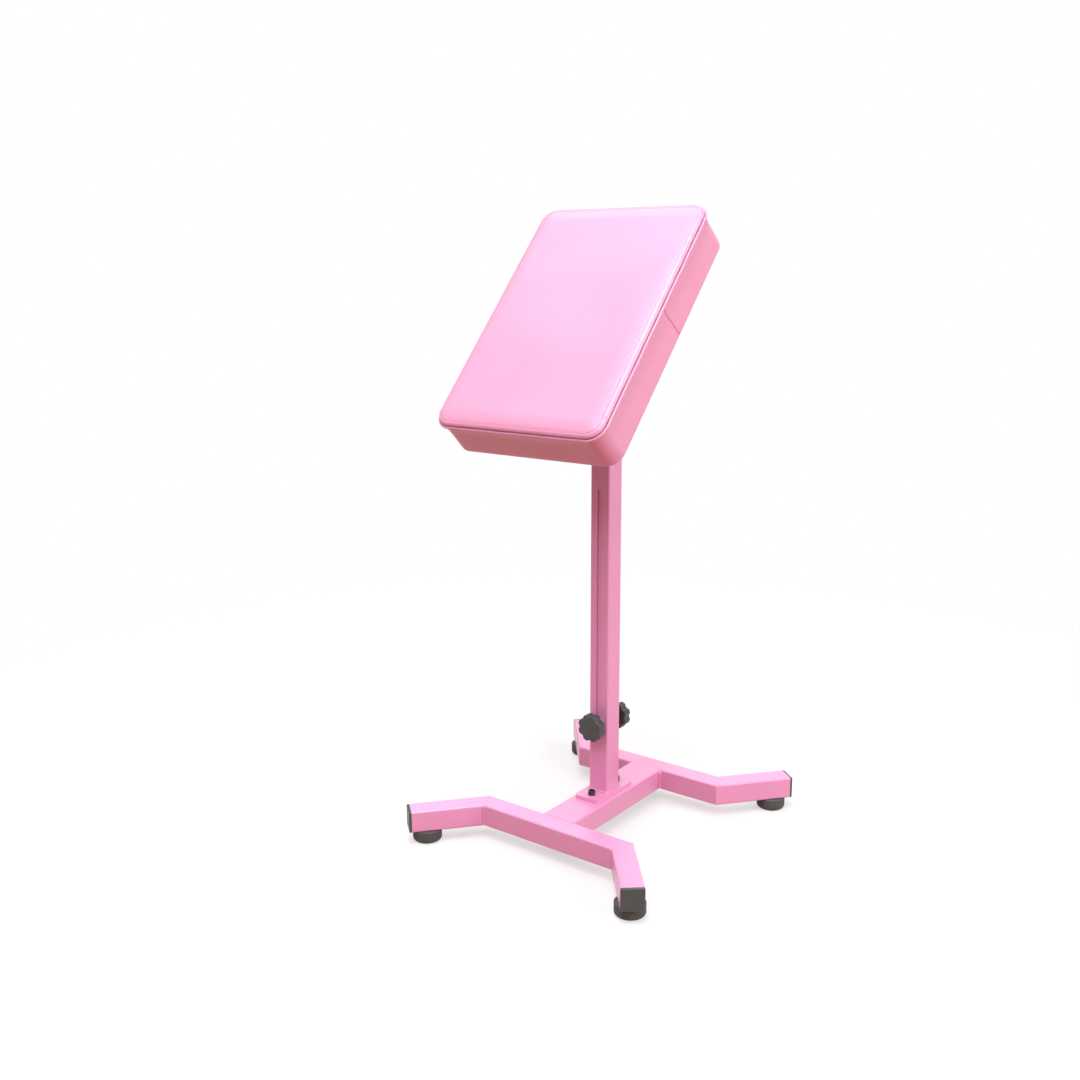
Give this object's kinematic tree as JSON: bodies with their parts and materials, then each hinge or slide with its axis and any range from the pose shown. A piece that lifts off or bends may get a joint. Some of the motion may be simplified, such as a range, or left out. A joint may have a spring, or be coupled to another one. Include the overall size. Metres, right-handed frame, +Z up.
{
  "type": "adjustable arm rest stand",
  "caption": "Height-adjustable arm rest stand: welded H base on rubber feet, slotted square post with star knob clamps, and a tilting padded cushion.",
  "frame": {"origin": "on the floor, on the axis of the post, under the middle of the base", "axes": "+Z up along the post, +Y from the cushion's low end towards its high end, +X across the cushion to the right of a person who faces its low end"},
  "size_m": [0.3832, 0.4282, 0.8312],
  "materials": {
    "pink_powder_coat": "satin pink powder coat with a fine orange peel",
    "black_plastic": "moulded, slightly satin",
    "guide_plastic": "smooth low friction plastic",
    "black_rubber": "matt moulded",
    "zinc_steel": "bright zinc plated",
    "black_oxide_steel": "black oxide",
    "brass": "turned",
    "plywood": "sanded, raw",
    "pink_leatherette": "soft fine grain artificial leather",
    "pink_piping": "piping of the same artificial leather",
    "cushion_foam": "open cell foam",
    "black_felt": "thin nonwoven felt"
  },
  "bodies": {
    "base": {"front_rail": "pink_powder_coat", "rear_rail": "pink_powder_coat", "cross_tube": "pink_powder_coat", "base_plate": "pink_powder_coat", "outer_post": "pink_powder_coat", "front_left_leg": "pink_powder_coat", "front_left_end_cap": "black_plastic", "front_left_foot": "black_rubber", "front_right_leg": "pink_powder_coat", "front_right_end_cap": "black_plastic", "front_right_foot": "black_rubber", "rear_left_leg": "pink_powder_coat", "rear_left_end_cap": "black_plastic", "rear_left_foot": "black_rubber", "rear_right_leg": "pink_powder_coat", "rear_right_end_cap": "black_plastic", "rear_right_foot": "black_rubber", "foot_screws": "zinc_steel", "foot_washers": "zinc_steel", "foot_weld_nuts": "zinc_steel", "base_bolts": "black_oxide_steel", "base_weld_nuts": "zinc_steel", "post_guide_collar": "guide_plastic"},
    "mast": {"inner_post": "pink_powder_coat", "inner_post_glide": "guide_plastic", "inner_post_cap": "black_plastic", "height_stud": "zinc_steel", "height_stud_spacer": "zinc_steel", "pivot_bolt": "zinc_steel", "pivot_lock_nut": "zinc_steel", "pivot_spacer": "zinc_steel", "tilt_bolt": "zinc_steel", "tilt_spacer": "zinc_steel", "head_washers": "zinc_steel", "friction_washers": "guide_plastic"},
    "front_clamp": {"front_clamp_washer": "zinc_steel"},
    "front_knob": {"front_height_knob": "black_plastic", "front_knob_insert": "brass"},
    "rear_clamp": {"rear_clamp_washer": "zinc_steel"},
    "rear_knob": {"rear_height_knob": "black_plastic", "rear_knob_insert": "brass"},
    "tilt_clamp": {"tilt_clamp_washer": "zinc_steel"},
    "tilt_hand_knob": {"tilt_knob": "black_plastic", "tilt_knob_insert": "brass"},
    "cushion": {"left_quadrant": "pink_powder_coat", "right_quadrant": "pink_powder_coat", "bracket_plate": "pink_powder_coat", "bracket_screws": "zinc_steel", "tee_nuts": "zinc_steel", "pad_board": "plywood", "dust_cover": "black_felt", "pad_cover": "pink_leatherette", "pad_foam": "cushion_foam", "pad_welt": "pink_piping"}
  },
  "joints": [
    {"name": "height_slide", "type": "slide", "parent": "base", "child": "mast", "axis": [0, 0, 1], "range_m": [0, 0.32]},
    {"name": "cushion_tilt", "type": "hinge", "parent": "mast", "child": "cushion", "pos_m": [0, 0, 0.628], "axis": [1, 0, 0], "range_deg": [-48, 32]},
    {"name": "front_clamp_slide", "type": "slide", "parent": "mast", "child": "front_clamp", "axis": [0, -1, 0], "range_m": [0, 0.0025]},
    {"name": "front_knob_turn", "type": "hinge", "parent": "front_clamp", "child": "front_knob", "pos_m": [0, -0.025, 0.15], "axis": [0, -1, 0], "range_deg": [0, 720]},
    {"name": "rear_clamp_slide", "type": "slide", "parent": "mast", "child": "rear_clamp", "axis": [0, 1, 0], "range_m": [0, 0.0025]},
    {"name": "rear_knob_turn", "type": "hinge", "parent": "rear_clamp", "child": "rear_knob", "pos_m": [0, 0.025, 0.15], "axis": [0, 1, 0], "range_deg": [0, 720]},
    {"name": "tilt_clamp_slide", "type": "slide", "parent": "mast", "child": "tilt_clamp", "axis": [-1, 0, 0], "range_m": [0, 0.0025]},
    {"name": "tilt_knob_turn", "type": "hinge", "parent": "tilt_clamp", "child": "tilt_hand_knob", "pos_m": [-0.027, 0, 0.598], "axis": [-1, 0, 0], "range_deg": [0, 720]}
  ],
  "couplings": [
    {"joint": "front_clamp_slide", "follows": "front_knob_turn", "m_per_rad": 0.00019894},
    {"joint": "rear_clamp_slide", "follows": "rear_knob_turn", "m_per_rad": 0.00019894},
    {"joint": "tilt_clamp_slide", "follows": "tilt_knob_turn", "m_per_rad": 0.00019894}
  ]
}
